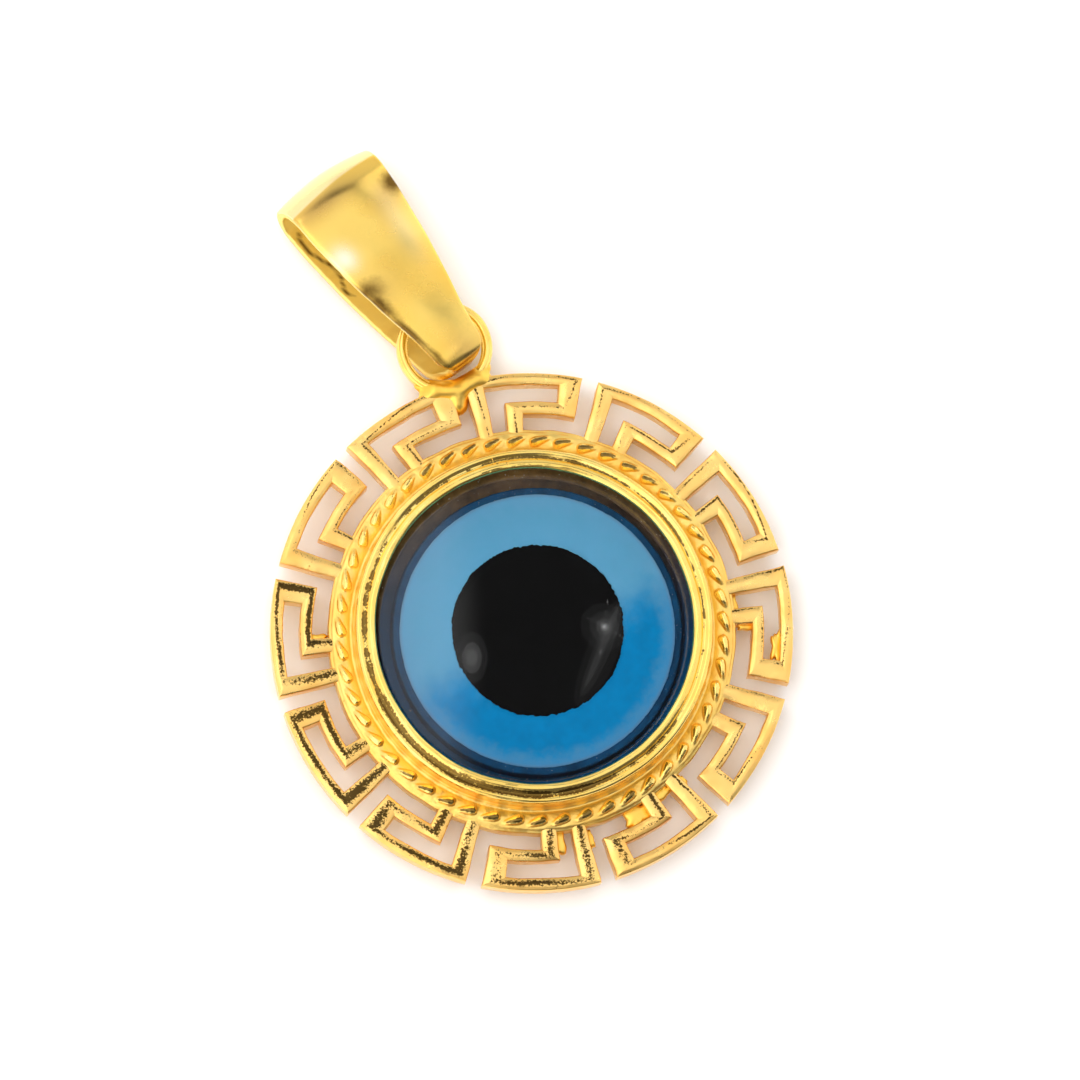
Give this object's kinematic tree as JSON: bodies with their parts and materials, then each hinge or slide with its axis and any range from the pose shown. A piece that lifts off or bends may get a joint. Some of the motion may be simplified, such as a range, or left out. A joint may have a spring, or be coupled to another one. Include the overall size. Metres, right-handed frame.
{
  "type": "evil eye pendant",
  "caption": "Round pendant: a domed glass eye in a closed gold cup with a rope edge and a pierced key border, hung on a folded gold bail.",
  "frame": {"origin": "centre of the cup's flat back, on the surface that the pendant lies on", "axes": "+Z out of the front of the eye, +Y from the eye to the loop, +X to the right seen from the front"},
  "size_m": [0.02, 0.0297, 0.0034],
  "materials": {
    "gold": "polished gold",
    "navy_glass": "opaque navy glass",
    "blue_glass": "opaque light blue glass",
    "black_glass": "opaque black glass",
    "clear_glass": "clear polished glass"
  },
  "bodies": {
    "setting": {"setting": "gold", "navy_glass": "navy_glass", "iris": "blue_glass", "pupil": "black_glass", "clear_glass": "clear_glass"},
    "bail": {"bail": "gold"}
  },
  "joints": [
    {"name": "bail_swing", "type": "hinge", "parent": "setting", "child": "bail", "pos_m": [-0.00034, 0.0124, 0.00158], "axis": [0.9397, 0.342, 0], "range_deg": [-65, 65]}
  ]
}
